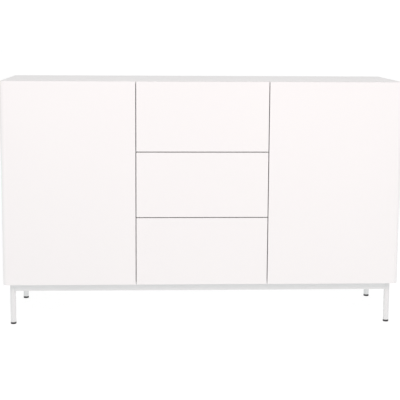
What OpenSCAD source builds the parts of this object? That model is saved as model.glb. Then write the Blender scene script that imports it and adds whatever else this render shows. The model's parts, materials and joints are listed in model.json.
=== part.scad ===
// Handleless sideboard: a hinged door each side of three stacked drawers, on a round-legged steel stand.
// Millimetres, +Z up. The fronts face -Y. The origin is on the floor, under the middle of the cabinet.

/* [Cabinet] */
// Width of the cabinet
body_w = 1400; // [1100:10:2000]
// Depth of the cabinet, from its back to the faces of its fronts
body_d = 400; // [330:5:520]
// Thickness of the top, bottom, sides and partitions
panel_t = 18; // [15:0.5:24]
// Thickness of the back panels
back_t = 5; // [3:0.5:8]
// Distance that the back panels sit in from the cabinet's back
back_set = 1; // [0:0.5:5]
// Width of the rebate that holds the back panels
rebate_w = 9; // [6:0.5:12]
// Clearance round each back panel in its rebate
back_gap = 0.5; // [0:0.1:1]

/* [Fronts] */
// Width of the drawer fronts
drawer_front_w = 461; // [340:1:640]
// Height of the top drawer front
top_front_h = 243.5; // [180:0.5:340]
// Height of the middle drawer front
middle_front_h = 228.5; // [180:0.5:340]
// Height of the bottom drawer front
bottom_front_h = 239; // [180:0.5:340]
// Thickness of the doors and the drawer fronts
front_t = 19; // [18:0.5:25]
// Gap between neighbouring fronts
front_gap = 3; // [2:0.5:5]
// Space behind the fronts, which the push latches need
push_gap = 3; // [2.5:0.5:5]
// Radius of the doors' outer front edge
edge_r = 15; // [2:1:18]
// Chamfer on the doors' outer back edge, which clears the cabinet's side as the door swings
edge_chamfer = 4; // [3.5:0.5:5]

/* [Stand] */
// Height from the floor to the underside of the cabinet
stand_h = 148; // [90:1:260]
// Diameter of the legs
leg_d = 20; // [16:0.5:30]
// Wall of the leg tubes
leg_wall = 2; // [1:0.5:3]
// Thickness of the disc that closes the top of a leg
leg_cap_t = 3; // [2:0.5:5]
// Distance from the cabinet's side to a leg's centre
leg_side_inset = 31; // [18:1:60]
// Distance from the cabinet's front edge back to the front legs
leg_setback = 1; // [0.5:0.5:30]
// Height of the rails
rail_h = 25; // [15:1:50]
// Distance from a leg's surface in to the faces of the rails
rail_inset = 3; // [1:0.5:4]
// Wall of the rails
rail_wall = 1.5; // [1:0.5:3]
// Thickness of the corner plates, which sit on the legs and rails
plate_t = 3; // [2:0.5:5]
// Height of the floor glides below the legs
glide_h = 7; // [4:0.5:15]
// Length of a floor glide's plug inside the leg
glide_plug = 22; // [10:1:40]
// Radial clearance of a floor glide's plug
glide_gap = 0.05; // [0:0.01:0.2]
// Diameter of the frame screws
screw_d = 5; // [4:0.5:6]
// Length of the frame screws inside the bottom panel
screw_bite = 14; // [8:1:14]
// Diameter of the frame screws' heads
screw_head_d = 10; // [8:0.5:14]
// Height of the frame screws' heads
screw_head_h = 3; // [2:0.5:4]
// Distance from the rails to a frame screw's centre
screw_inset = 12; // [8:1:20]
// Distance between the two screws of a corner plate, along each rail
screw_step = 28; // [18:1:40]
// Distance from a frame screw's centre to the edges of its corner plate
screw_edge = 8; // [7:0.5:15]

/* [Panel joints] */
// Diameter of the dowels
dowel_d = 8; // [6:1:10]
// Depth of a dowel in a panel's face
dowel_face = 11; // [8:0.5:12]
// Depth of a dowel in a panel's edge
dowel_edge = 21; // [15:1:30]
// Distance from a panel's front or back edge to the nearest dowel
dowel_inset = 40; // [25:1:60]
// Diameter of the cam discs
cam_d = 15; // [12:0.5:15]
// Depth of the cam discs in the panel
cam_t = 12.5; // [9:0.5:13]
// Distance from the end of an upright panel to a cam disc's centre
cam_setback = 34; // [24:1:40]
// Diameter of the cam bolts
cam_bolt_d = 6; // [5:0.5:7]
// Distance from a dowel to the cam fitting beside it
cam_step = 32; // [20:1:60]
// Width of the slots in a cam disc
cam_slot_w = 2; // [1:0.5:3]
// Length of the slots in a cam disc
cam_slot_l = 9; // [6:0.5:10]
// Depth of the slots in a cam disc
cam_slot_t = 1.5; // [1:0.5:3]

/* [Shelves] */
// Thickness of the shelves
shelf_t = 18; // [15:0.5:25]
// Distance from the cabinet's front edge to a shelf's front edge
shelf_inset = 20; // [5:1:80]
// Clearance at the ends and the back of a shelf
shelf_gap = 1; // [0.5:0.5:3]
// Height of the shelf pins above the middle of the cupboard
shelf_offset = -12; // [-100:1:100]
// Diameter of the shelf pins
pin_d = 5; // [4:0.5:7]
// Radial clearance of the shelf pins
pin_gap = 0.05; // [0:0.01:0.1]
// Depth of a shelf pin in its hole
pin_in = 9; // [6:0.5:12]
// Depth of the shelf pin holes
pin_hole = 10; // [9.5:0.5:13]
// Length of a shelf pin in the cupboard
pin_out = 9; // [6:0.5:12]
// Diameter of a shelf pin's collar
pin_collar_d = 8; // [6:0.5:10]
// Thickness of a shelf pin's collar
pin_collar_t = 0.9; // [0.5:0.1:0.9]
// Pitch of the shelf pin holes
pin_pitch = 32; // [20:1:50]
// Holes above and below each shelf pin
pin_steps = 2; // [0:1:3]
// Distance from the cabinet's front edge, and from its back panel, to the rows of shelf pin holes
pin_inset = 60; // [40:1:90]

/* [Drawers] */
// Distance from a front's lower edge to the underside of its drawer box
box_lift = 32; // [26:1:45]
// Distance from a front's upper edge to the top of its drawer box
box_drop = 50; // [30:1:70]
// Distance between a closed drawer and the back panel
drawer_rear_gap = 26; // [15:1:60]
// Thickness of the drawer box sides and backs
box_t = 12; // [10:0.5:18]
// Thickness of the drawer box bottoms
box_bottom_t = 5; // [3:0.5:8]
// Distance from the underside of a drawer box to the underside of its bottom
box_bottom_lift = 10; // [6:0.5:14]
// Depth of the groove that holds a drawer box bottom
groove_d = 6; // [3:0.5:6]

/* [Drawer runners] */
// Width of a closed runner, from the partition to the drawer box
runner_w = 12.7; // [12:0.1:16]
// Height of the runners
runner_h = 45; // [42:0.5:56]
// Wall of the runner members
runner_wall = 1.2; // [1:0.1:1.5]
// Height of the ball track between two runner members
track_h = 3; // [2:0.5:3.5]
// Sideways clearance between two runner members
runner_gap = 1; // [0.5:0.1:1.3]
// Distance from the cabinet's front edge to the runners
runner_setback = 2; // [1:0.5:6]
// Distance from the underside of a drawer box to the middle of its runners
runner_lift = 40; // [30:1:50]

/* [Hinges] */
// Distance from each end of a door to a hinge's centre
hinge_inset = 100; // [70:1:160]
// Diameter of the hinge cups
cup_d = 35; // [33:0.5:40]
// Depth of the hinge cups in the door
cup_t = 13; // [12.5:0.5:14]
// Distance from a door's edge to its hinge cups
cup_edge = 5; // [4:0.5:6]
// Wall of the hinge cups
cup_wall = 0.8; // [0.5:0.1:1]
// Thickness of a hinge cup's flange
flange_t = 1; // [0.8:0.1:1.2]
// Width of the flange's rim round the cup
flange_rim = 2; // [1:0.5:3]
// Distance from a cup's centre to the middle of its flange's wings
wing_shift = 8.75; // [7:0.25:10]
// Width of the flange's wings
wing_w = 14; // [12:1:18]
// Length of the flange from wing tip to wing tip
wing_l = 58; // [52:1:70]
// Distance between the two screws of a flange
wing_pitch = 46; // [42:1:50]
// Distance from a door's edge to its hinge pins
pivot_in = 10; // [9.5:0.5:10.5]
// Depth of the hinge pins below the door's back face
pivot_t = 9; // [8.5:0.5:9.5]
// Diameter of the hinge pins
hinge_pin_d = 3; // [2.5:0.5:3]
// Radial running clearance of the hinge arms on their pins
hinge_run = 0.05; // [0.02:0.01:0.1]
// Metal of the hinge cup left over each end of its pin
pin_cover = 0.5; // [0.2:0.1:1]
// Diameter of a hinge arm's eye
eye_d = 5.6; // [5:0.1:6]
// Width of a hinge arm along its pin
arm_w = 11; // [9:0.5:11]
// Thickness of a hinge arm
arm_t = 3.8; // [2.5:0.1:4]
// Distance from a hinge pin's centre to the top of the arm's web
web_top = 1.5; // [1:0.1:1.6]
// Clearance from a hinge arm to the ears that hold its pin
ear_gap = 0.5; // [0.3:0.1:1]
// Width of the ears that hold a hinge pin
ear_w = 9; // [7:0.5:9]
// Height of those ears above the hinge pin's centre
ear_top = 3.5; // [2.5:0.5:4]
// Thickness of the hinge plates on the cabinet's sides
hinge_plate_t = 3.2; // [2:0.1:4]
// Distance from the cabinet's front edge to a hinge plate
hinge_plate_inset = 18; // [12:1:30]
// Length of a hinge plate
hinge_plate_l = 42; // [30:1:60]
// Height of a hinge plate's body
hinge_plate_h = 18; // [14:1:24]
// Height of a hinge plate from wing to wing
hinge_wing_h = 52; // [40:1:64]
// Width of a hinge plate's wings
hinge_wing_w = 14; // [10:1:20]
// Thickness of a hinge plate's wings
hinge_wing_t = 2; // [1:0.1:2]
// Distance between the two screws of a hinge plate
plate_pitch = 32; // [28:1:38]
// Diameter of the screws that hold the flanges and the hinge plates
hinge_screw_d = 3.5; // [3:0.1:3.9]
// Diameter of the holes for those screws in the metal
hinge_hole_d = 4; // [4:0.1:4.5]
// Diameter of those screws' heads
hinge_head_d = 7; // [6:0.5:8]
// Height of those screws' heads
hinge_head_h = 1.6; // [1:0.1:1.8]
// Length of those screws in the wood
hinge_bite = 11; // [6:0.5:11]

/* [Push latches] */
// Distance from a partition to the latch beside it
latch_inset = 20; // [12:1:40]
// Width of a latch housing
latch_w = 16; // [13:1:24]
// Height of a latch housing
latch_h = 14; // [12:1:24]
// Length of a latch housing
latch_l = 60; // [50:1:90]
// Distance from the cabinet's front edge to a latch housing
latch_setback = 1; // [0.5:0.5:4]
// Diameter of the latch plungers
plunger_d = 8; // [5:0.5:9]
// Length of a plunger inside its housing
plunger_in = 38; // [20:1:42]
// Radial running clearance of a plunger in its housing
plunger_run = 0.05; // [0.02:0.01:0.1]
// Thickness of a latch housing's end wall
latch_wall = 4; // [2:0.5:5]
// Clearance between a plunger and its strike plate
touch_gap = 0.3; // [0.2:0.1:0.5]
// Side of the strike plates
strike_s = 20; // [14:1:30]
// Thickness of the strike plates
strike_t = 1; // [0.5:0.1:1.2]

/* [Hidden] */
$fn = 64;

// Overshoot of a cutting shape past the face it cuts
cut = 1;

lacquer = [0.95, 0.95, 0.94];
board = [0.93, 0.93, 0.92];
backing = [0.88, 0.88, 0.87];
enamel = [0.90, 0.90, 0.90];
zinc = [0.70, 0.71, 0.73];
black_plastic = [0.08, 0.08, 0.08];
grey_plastic = [0.62, 0.63, 0.64];
birch = [0.80, 0.66, 0.47];

// Cabinet levels
half_w = body_w / 2;
front_y = -body_d / 2;
back_y = body_d / 2;
front_back_y = front_y + front_t;
case_y = front_back_y + push_gap;
back_outer_y = back_y - back_set;
back_inner_y = back_outer_y - back_t;
body_h = bottom_front_h + middle_front_h + top_front_h + 2 * front_gap;
top_z = stand_h + body_h;
inner_low_z = stand_h + panel_t;
inner_top_z = top_z - panel_t;

// Uprights: the middle of each panel's thickness, and the side its cupboard is on
side_x = half_w - panel_t / 2;
partition_x = (drawer_front_w + front_gap) / 2;
uprights = [[-side_x, 1], [-partition_x, -1], [partition_x, 1], [side_x, -1]];

// Joints along an upright's end
joint_mid_y = (case_y + back_inner_y) / 2;
dowel_ys = [case_y + dowel_inset, joint_mid_y, back_inner_y - dowel_inset];
cam_ys = [case_y + dowel_inset + cam_step, back_inner_y - dowel_inset - cam_step];

// Shelf pins
pin_z = (inner_low_z + inner_top_z) / 2 + shelf_offset;
pin_ys = [case_y + pin_inset, back_inner_y - pin_inset];

// Stand
leg_x = half_w - leg_side_inset;
leg_y = back_y - front_t - push_gap - leg_setback - leg_d / 2;
leg_top_z = stand_h - plate_t;
rail_d = leg_d - 2 * rail_inset;
rail_z = leg_top_z - rail_h;
screw_near = rail_d / 2 + screw_inset;

// Doors and hinges: places are from the hinge pin, X towards the cabinet's middle and Y to the back
door_w = half_w - drawer_front_w / 2 - front_gap;
pivot_y = front_back_y - pivot_t;
hinge_zs = [stand_h + hinge_inset, top_z - hinge_inset];
cup_x = cup_edge + cup_d / 2 - pivot_in;
wing_x = cup_x + wing_shift;
hinge_pin_l = 2 * (sqrt(pow(cup_d / 2, 2) - pow(cup_x + hinge_pin_d / 2, 2)) - pin_cover);
arm_x = panel_t + hinge_plate_t - pivot_in;
hinge_case_y = case_y - pivot_y;
hinge_plate_y = hinge_case_y + hinge_plate_inset;
plate_x = arm_x - hinge_plate_t;

// Latches
latch_x = partition_x + panel_t / 2 + latch_inset;
latch_y = case_y + latch_setback;
latch_z = inner_top_z - latch_h / 2;

// Drawers, as the height of the front's lower edge and of the front, from the bottom up
bottom_row = [stand_h, bottom_front_h];
middle_row = [stand_h + bottom_front_h + front_gap, middle_front_h];
top_row = [stand_h + bottom_front_h + middle_front_h + 2 * front_gap, top_front_h];
drawer_back_y = back_inner_y - drawer_rear_gap;
bay_x = partition_x - panel_t / 2;
box_x = bay_x - runner_w;
box_inner_x = box_x - box_t;
runner_y = case_y + runner_setback;
slide_h = runner_h - 2 * (runner_wall + track_h);
rider_h = slide_h - 2 * (runner_wall + track_h);

// ---- Shared shapes and places ----

// A box from its lowest corner to its highest
module block(low, high) {
  translate(low) cube(high - low);
}

// A straight round bar along +X, +Y or +Z from the origin
module bar_x(r, length) {
  rotate([0, 90, 0]) cylinder(r = r, h = length);
}

module bar_y(r, length) {
  rotate([-90, 0, 0]) cylinder(r = r, h = length);
}

// The same shape on the left, or mirrored to the right
module on_side(side) {
  mirror([side > 0 ? 1 : 0, 0, 0]) children();
}

// Each end of an upright at depth y: +Z goes into the top or bottom panel, +X out into the cupboard
module at_joints(upright, ys) {
  for (y = ys) {
    translate([upright[0], y, inner_top_z]) on_side(-upright[1]) children();
    translate([upright[0], y, inner_low_z]) on_side(-upright[1]) mirror([0, 0, 1]) children();
  }
}

// Places along an upright's rows of shelf pin holes, with +X out into the cupboard
module at_pins(upright, steps) {
  for (y = pin_ys, step = [-steps : steps]) {
    face_x = upright[0] + upright[1] * panel_t / 2;
    translate([face_x, y, pin_z + step * pin_pitch]) on_side(-upright[1]) children();
  }
}

// The hinge pins of the left door
module at_hinges() {
  for (z = hinge_zs) {
    translate([-half_w + pivot_in, pivot_y, z]) children();
  }
}

// The screws of a hinge cup's flange, from the undersides of their heads with +Z out of the door
module at_wing_screws() {
  for (turn = [-1, 1]) {
    translate([wing_x, pivot_t + flange_t, turn * wing_pitch / 2]) rotate([-90, 0, 0]) children();
  }
}

// The screws of a hinge plate, from the undersides of their heads with +Z out of the cabinet's side
module at_plate_screws() {
  y = hinge_plate_y + hinge_plate_l / 2;
  for (turn = [-1, 1]) {
    translate([plate_x + hinge_wing_t, y, turn * plate_pitch / 2]) rotate([0, 90, 0]) children();
  }
}

// The four corners of the stand, each with +X and +Y towards the middle of the cabinet
module at_corners() {
  for (sx = [0, 1], sy = [0, 1]) {
    mirror([sx, 0, 0]) mirror([0, sy, 0]) translate([-leg_x, -leg_y, 0]) children();
  }
}

// ---- Carcass ----

module dowel() {
  translate([0, 0, -dowel_edge]) cylinder(d = dowel_d, h = dowel_edge + dowel_face);
}

module cam_bolt() {
  translate([0, 0, -cam_setback]) cylinder(d = cam_bolt_d, h = cam_setback + dowel_face);
}

module cam_disc() {
  translate([panel_t / 2 - cam_t, 0, -cam_setback]) bar_x(cam_d / 2, cam_t);
}

module cam_slots() {
  translate([panel_t / 2, 0, -cam_setback]) {
    cube([2 * cam_slot_t, cam_slot_l, cam_slot_w], center = true);
    cube([2 * cam_slot_t, cam_slot_w, cam_slot_l], center = true);
  }
}

// Everything that is drilled for the fittings that join the uprights to the top and bottom
module joint_holes(upright) {
  at_joints(upright, dowel_ys) dowel();
  at_joints(upright, cam_ys) {
    cam_bolt();
    cam_disc();
  }
}

// The recess that holds the three back panels
module back_recess() {
  x = half_w - rebate_w;
  block([-x, back_inner_y, stand_h + rebate_w], [x, back_y + cut, top_z - rebate_w]);
}

module flat_panel(low_z, high_z) {
  difference() {
    block([-half_w, case_y, low_z], [half_w, back_y, high_z]);
    back_recess();
    for (upright = uprights) {
      joint_holes(upright);
    }
  }
}

module upright_panel(upright, rear_y) {
  difference() {
    block([upright[0] - panel_t / 2, case_y, inner_low_z], [upright[0] + panel_t / 2, rear_y, inner_top_z]);
    back_recess();
    joint_holes(upright);
    at_pins(upright, pin_steps) translate([-pin_hole, 0, 0]) bar_x(pin_d / 2, pin_hole + cut);
  }
}

module top_panel() {
  color(lacquer) flat_panel(inner_top_z, top_z);
}

module bottom_panel() {
  color(board) difference() {
    flat_panel(stand_h, inner_low_z);
    at_screws() cylinder(d = screw_d, h = stand_h + screw_bite);
  }
}

module side_panel(side) {
  color(lacquer) difference() {
    upright_panel(uprights[side < 0 ? 0 : 3], back_y);
    on_side(side) at_hinges() at_plate_screws() hinge_shank(hinge_wing_t);
  }
}

module left_side_panel() {
  side_panel(-1);
}

module left_partition() {
  color(board) upright_panel(uprights[1], back_inner_y);
}

module right_partition() {
  color(board) upright_panel(uprights[2], back_inner_y);
}

module right_side_panel() {
  side_panel(1);
}

// A back panel between two places across the cabinet
module back_sheet(low_x, high_x) {
  low_z = stand_h + rebate_w + back_gap;
  high_z = top_z - rebate_w - back_gap;
  color(backing) block([low_x + back_gap, back_inner_y, low_z], [high_x - back_gap, back_outer_y, high_z]);
}

module left_back_panel() {
  back_sheet(-half_w + rebate_w, -partition_x);
}

module middle_back_panel() {
  back_sheet(-partition_x, partition_x);
}

module right_back_panel() {
  back_sheet(partition_x, half_w - rebate_w);
}

module dowels() {
  color(birch) for (upright = uprights) {
    at_joints(upright, dowel_ys) dowel();
  }
}

module cam_fittings() {
  color(zinc) difference() {
    for (upright = uprights) {
      at_joints(upright, cam_ys) {
        cam_bolt();
        cam_disc();
      }
    }
    for (upright = uprights) {
      at_joints(upright, cam_ys) cam_slots();
    }
  }
}

module shelf(side) {
  low_x = -side_x + panel_t / 2 + shelf_gap;
  high_x = -partition_x - panel_t / 2 - shelf_gap;
  low_z = pin_z + pin_d / 2 - pin_gap;
  low_y = case_y + shelf_inset;
  high_y = back_inner_y - shelf_gap;
  color(board) on_side(side) block([low_x, low_y, low_z], [high_x, high_y, low_z + shelf_t]);
}

module left_shelf() {
  shelf(-1);
}

module right_shelf() {
  shelf(1);
}

module shelf_pins() {
  color(zinc) for (upright = uprights) {
    at_pins(upright, 0) difference() {
      union() {
        translate([-pin_in, 0, 0]) bar_x(pin_d / 2 - pin_gap, pin_in + pin_out);
        bar_x(pin_collar_d / 2, pin_collar_t);
      }
      // The collar is cut level with the top of the pin, so that the shelf clears it
      block([0, -pin_collar_d, pin_d / 2 - pin_gap], [pin_out, pin_collar_d, pin_collar_d]);
    }
  }
}

// ---- Stand ----

module rail_run(length) {
  translate([0, -rail_d / 2, rail_z]) cube([length, rail_d, rail_h]);
}

// A hollow rail along +X, which starts at a leg's centre and is coped to the legs at both ends
module coped_rail(length) {
  difference() {
    rail_run(length);
    translate([-cut, rail_wall - rail_d / 2, rail_z + rail_wall])
      cube([length + 2 * cut, rail_d - 2 * rail_wall, rail_h - 2 * rail_wall]);
    cylinder(d = leg_d, h = stand_h);
    translate([length, 0, 0]) cylinder(d = leg_d, h = stand_h);
  }
}

module long_rail(y) {
  color(enamel) translate([-leg_x, y, 0]) coped_rail(2 * leg_x);
}

module side_rail(x) {
  color(enamel) difference() {
    translate([x, -leg_y, 0]) rotate([0, 0, 90]) coped_rail(2 * leg_y);
    translate([-leg_x, -leg_y, 0]) rail_run(2 * leg_x);
    translate([-leg_x, leg_y, 0]) rail_run(2 * leg_x);
  }
}

module front_rail() {
  long_rail(-leg_y);
}

module back_rail() {
  long_rail(leg_y);
}

module left_rail() {
  side_rail(-leg_x);
}

module right_rail() {
  side_rail(leg_x);
}

// The axes of the frame screws, two through each corner plate
module at_screws() {
  at_corners() {
    translate([screw_near + screw_step, screw_near, 0]) children();
    translate([screw_near, screw_near + screw_step, 0]) children();
  }
}

// A square plate over the leg, with its inner corner clipped
module corner_plates() {
  outer = -leg_d / 2;
  clip = screw_near + screw_edge;
  inner = clip + screw_step;
  color(enamel) difference() {
    at_corners() translate([0, 0, leg_top_z]) linear_extrude(height = plate_t)
      polygon([[outer, outer], [inner, outer], [inner, clip], [clip, inner], [outer, inner]]);
    at_screws() cylinder(d = screw_d, h = stand_h + cut);
  }
}

module frame_screws() {
  head_z = leg_top_z - screw_head_h;
  color(zinc) at_screws() {
    translate([0, 0, head_z]) cylinder(d = screw_head_d, h = screw_head_h);
    translate([0, 0, head_z]) cylinder(d = screw_d, h = screw_head_h + plate_t + screw_bite);
  }
}

module leg(x, y) {
  color(enamel) translate([x, y, glide_h]) difference() {
    cylinder(d = leg_d, h = leg_top_z - glide_h);
    translate([0, 0, -cut]) cylinder(r = leg_d / 2 - leg_wall, h = leg_top_z - glide_h - leg_cap_t + cut);
  }
}

module front_left_leg() {
  leg(-leg_x, -leg_y);
}

module front_right_leg() {
  leg(leg_x, -leg_y);
}

module back_left_leg() {
  leg(-leg_x, leg_y);
}

module back_right_leg() {
  leg(leg_x, leg_y);
}

module floor_glides() {
  color(black_plastic) at_corners() {
    cylinder(d = leg_d, h = glide_h);
    cylinder(r = leg_d / 2 - leg_wall - glide_gap, h = glide_h + glide_plug);
  }
}

// ---- Doors ----

// Plan of the left door from its outer front corner: a round front edge and a chamfered back edge
module door_plan() {
  difference() {
    square([door_w, front_t]);
    difference() {
      square(edge_r);
      translate([edge_r, edge_r]) circle(edge_r);
    }
    polygon([[0, front_t - edge_chamfer], [edge_chamfer, front_t], [0, front_t]]);
  }
}

module door(side) {
  color(lacquer) on_side(side) difference() {
    translate([-half_w, front_y, stand_h]) linear_extrude(height = body_h) door_plan();
    at_hinges() {
      translate([cup_x, pivot_t - cup_t, 0]) bar_y(cup_d / 2, cup_t + cut);
      at_wing_screws() hinge_shank(flange_t);
    }
  }
}

module left_door() {
  door(-1);
}

module right_door() {
  door(1);
}

module cup_shell() {
  rim_d = cup_d + 2 * flange_rim;
  // The cup
  translate([cup_x, pivot_t - cup_t, 0]) bar_y(cup_d / 2, cup_t);
  // The flange's rim, kept off the door's chamfered edge
  intersection() {
    translate([cup_x, pivot_t, 0]) bar_y(rim_d / 2, flange_t);
    block([cup_x - cup_d / 2, pivot_t - cut, -rim_d], [cup_x + rim_d, pivot_t + flange_t + cut, rim_d]);
  }
  // The flange's wings
  block([wing_x - wing_w / 2, pivot_t, -wing_l / 2], [wing_x + wing_w / 2, pivot_t + flange_t, wing_l / 2]);
}

// The hollow of a cup, less the two ears that hold the pin
module cup_hollow() {
  ear_z = arm_w / 2 + ear_gap;
  difference() {
    translate([cup_x, pivot_t - cup_t + cup_wall, 0]) bar_y(cup_d / 2 - cup_wall, cup_t + flange_t);
    for (turn = [0, 1]) {
      mirror([0, 0, turn]) block([-ear_w / 2, -cup_t, ear_z], [ear_w / 2, ear_top, cup_d]);
    }
  }
}

module hinge_pin(d) {
  translate([0, 0, -hinge_pin_l / 2]) cylinder(d = d, h = hinge_pin_l);
}

module hinge_cups(side) {
  color(zinc) on_side(side) at_hinges() difference() {
    cup_shell();
    cup_hollow();
    hinge_pin(hinge_pin_d);
    at_wing_screws() hinge_hole(flange_t);
  }
}

module left_hinge_cups() {
  hinge_cups(-1);
}

module right_hinge_cups() {
  hinge_cups(1);
}

// The part of a hinge screw below its head, which passes through metal of the given thickness
module hinge_shank(metal) {
  translate([0, 0, -metal - hinge_bite]) cylinder(d = hinge_screw_d, h = metal + hinge_bite);
}

module hinge_screw(metal) {
  hinge_shank(metal);
  cylinder(d = hinge_head_d, h = hinge_head_h);
}

module hinge_hole(metal) {
  translate([0, 0, -metal - cut]) cylinder(d = hinge_hole_d, h = metal + 2 * cut);
}

module hinge_screws(side) {
  color(zinc) on_side(side) at_hinges() at_wing_screws() hinge_screw(flange_t);
}

module left_hinge_screws() {
  hinge_screws(-1);
}

module right_hinge_screws() {
  hinge_screws(1);
}

module hinge_pins(side) {
  color(zinc) on_side(side) at_hinges() hinge_pin(hinge_pin_d);
}

module left_hinge_pins() {
  hinge_pins(-1);
}

module right_hinge_pins() {
  hinge_pins(1);
}

// Plan of a hinge arm: an eye on the pin, a web across the cup and an upright back to the hinge plate
module arm_plan() {
  difference() {
    union() {
      circle(d = eye_d);
      translate([0, -eye_d / 2]) square([arm_x + arm_t, eye_d / 2 + web_top]);
      translate([arm_x, -eye_d / 2]) square([arm_t, eye_d / 2 + hinge_plate_y + hinge_plate_l]);
    }
    circle(r = hinge_pin_d / 2 + hinge_run);
  }
}

module hinge_arms(side) {
  low_y = hinge_plate_y + (hinge_plate_l - hinge_wing_w) / 2;
  body_z = hinge_plate_h / 2;
  wing_z = hinge_wing_h / 2;
  color(zinc) on_side(side) at_hinges() difference() {
    union() {
      translate([0, 0, -arm_w / 2]) linear_extrude(height = arm_w) arm_plan();
      block([plate_x, hinge_plate_y, -body_z], [arm_x, hinge_plate_y + hinge_plate_l, body_z]);
      block([plate_x, low_y, -wing_z], [plate_x + hinge_wing_t, low_y + hinge_wing_w, wing_z]);
    }
    at_plate_screws() hinge_hole(hinge_wing_t);
  }
}

module left_hinge_arms() {
  hinge_arms(-1);
}

module right_hinge_arms() {
  hinge_arms(1);
}

module hinge_plate_screws() {
  color(zinc) for (side = [-1, 1]) {
    on_side(side) at_hinges() at_plate_screws() hinge_screw(hinge_wing_t);
  }
}

module latch_housings() {
  bore_l = latch_l - latch_wall + cut;
  color(grey_plastic) for (side = [-1, 1]) {
    on_side(side) translate([-latch_x, latch_y, latch_z]) difference() {
      block([-latch_w / 2, 0, -latch_h / 2], [latch_w / 2, latch_l, latch_h / 2]);
      translate([0, -cut, 0]) bar_y(plunger_d / 2 + plunger_run, bore_l);
    }
  }
}

module latch_plunger(side) {
  tip_y = front_back_y + strike_t + touch_gap;
  color(black_plastic) on_side(side) translate([-latch_x, tip_y, latch_z])
    bar_y(plunger_d / 2, latch_y + plunger_in - tip_y);
}

module left_latch_plunger() {
  latch_plunger(-1);
}

module right_latch_plunger() {
  latch_plunger(1);
}

module strike_plate(side) {
  half = strike_s / 2;
  color(zinc) on_side(side) translate([-latch_x, front_back_y, latch_z])
    block([-half, 0, -half], [half, strike_t, half]);
}

module left_strike_plate() {
  strike_plate(-1);
}

module right_strike_plate() {
  strike_plate(1);
}

// ---- Drawers and runners ----

function box_low_z(row) = row[0] + box_lift;
function box_high_z(row) = row[0] + row[1] - box_drop;

// A channel of height h along the runner: its web starts at x, and its flanges reach to the tip
module channel(x, tip, h) {
  inward = tip > x ? 1 : -1;
  web = x + inward * runner_wall;
  high_z = h / 2;
  low_z = high_z - runner_wall;
  block([min(x, web), runner_y, -high_z], [max(x, web), drawer_back_y, high_z]);
  for (turn = [0, 1]) {
    mirror([0, 0, turn]) block([min(x, tip), runner_y, low_z], [max(x, tip), drawer_back_y, high_z]);
  }
}

// Both runners of a drawer, with X measured from the partition towards the drawer box
module at_runners(row) {
  for (side = [-1, 1]) {
    on_side(side) translate([-bay_x, 0, box_low_z(row) + runner_lift]) children();
  }
}

module runner_channels() {
  color(zinc) for (row = [bottom_row, middle_row, top_row]) {
    at_runners(row) channel(0, runner_w - 2 * (runner_wall + runner_gap / 2), runner_h);
  }
}

module runner_slides(row) {
  color(zinc) at_runners(row) channel(runner_wall + runner_gap, runner_w - runner_wall - runner_gap, slide_h);
}

module drawer_runners(row) {
  color(zinc) at_runners(row) channel(runner_w, 2 * (runner_wall + runner_gap), rider_h);
}

module drawer_front(row) {
  half = drawer_front_w / 2;
  color(lacquer) block([-half, front_y, row[0]], [half, front_back_y, row[0] + row[1]]);
}

module bottom_sheet(row) {
  half = box_inner_x + groove_d;
  low_z = box_low_z(row) + box_bottom_lift;
  block([-half, front_back_y, low_z], [half, drawer_back_y, low_z + box_bottom_t]);
}

module drawer_sides(row) {
  low_z = box_low_z(row);
  high_z = box_high_z(row);
  color(board) difference() {
    for (side = [-1, 1]) {
      on_side(side) block([-box_x, front_back_y, low_z], [-box_inner_x, drawer_back_y, high_z]);
    }
    bottom_sheet(row);
  }
}

module drawer_back(row) {
  low_y = drawer_back_y - box_t;
  low_z = box_low_z(row) + box_bottom_lift + box_bottom_t;
  color(board) block([-box_inner_x, low_y, low_z], [box_inner_x, drawer_back_y, box_high_z(row)]);
}

module drawer_bottom(row) {
  color(backing) bottom_sheet(row);
}

top_panel();
bottom_panel();
left_side_panel();
right_side_panel();
left_partition();
right_partition();
left_back_panel();
middle_back_panel();
right_back_panel();
left_shelf();
right_shelf();
shelf_pins();
dowels();
cam_fittings();
front_rail();
back_rail();
left_rail();
right_rail();
corner_plates();
front_left_leg();
front_right_leg();
back_left_leg();
back_right_leg();
floor_glides();
frame_screws();
left_hinge_arms();
right_hinge_arms();
hinge_plate_screws();
latch_housings();
runner_channels();
left_door();
right_door();
left_hinge_cups();
right_hinge_cups();
left_hinge_screws();
right_hinge_screws();
left_hinge_pins();
right_hinge_pins();
left_strike_plate();
right_strike_plate();
left_latch_plunger();
right_latch_plunger();
runner_slides(top_row);  // top_runner_slides
runner_slides(middle_row);  // middle_runner_slides
runner_slides(bottom_row);  // bottom_runner_slides
drawer_front(top_row);  // top_drawer_front
drawer_sides(top_row);  // top_drawer_sides
drawer_back(top_row);  // top_drawer_back
drawer_bottom(top_row);  // top_drawer_bottom
drawer_runners(top_row);  // top_drawer_runners
drawer_front(middle_row);  // middle_drawer_front
drawer_sides(middle_row);  // middle_drawer_sides
drawer_back(middle_row);  // middle_drawer_back
drawer_bottom(middle_row);  // middle_drawer_bottom
drawer_runners(middle_row);  // middle_drawer_runners
drawer_front(bottom_row);  // bottom_drawer_front
drawer_sides(bottom_row);  // bottom_drawer_sides
drawer_back(bottom_row);  // bottom_drawer_back
drawer_bottom(bottom_row);  // bottom_drawer_bottom
drawer_runners(bottom_row);  // bottom_drawer_runners
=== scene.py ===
import json
import math

import bmesh
import bpy
from mathutils import Matrix, Vector


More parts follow.
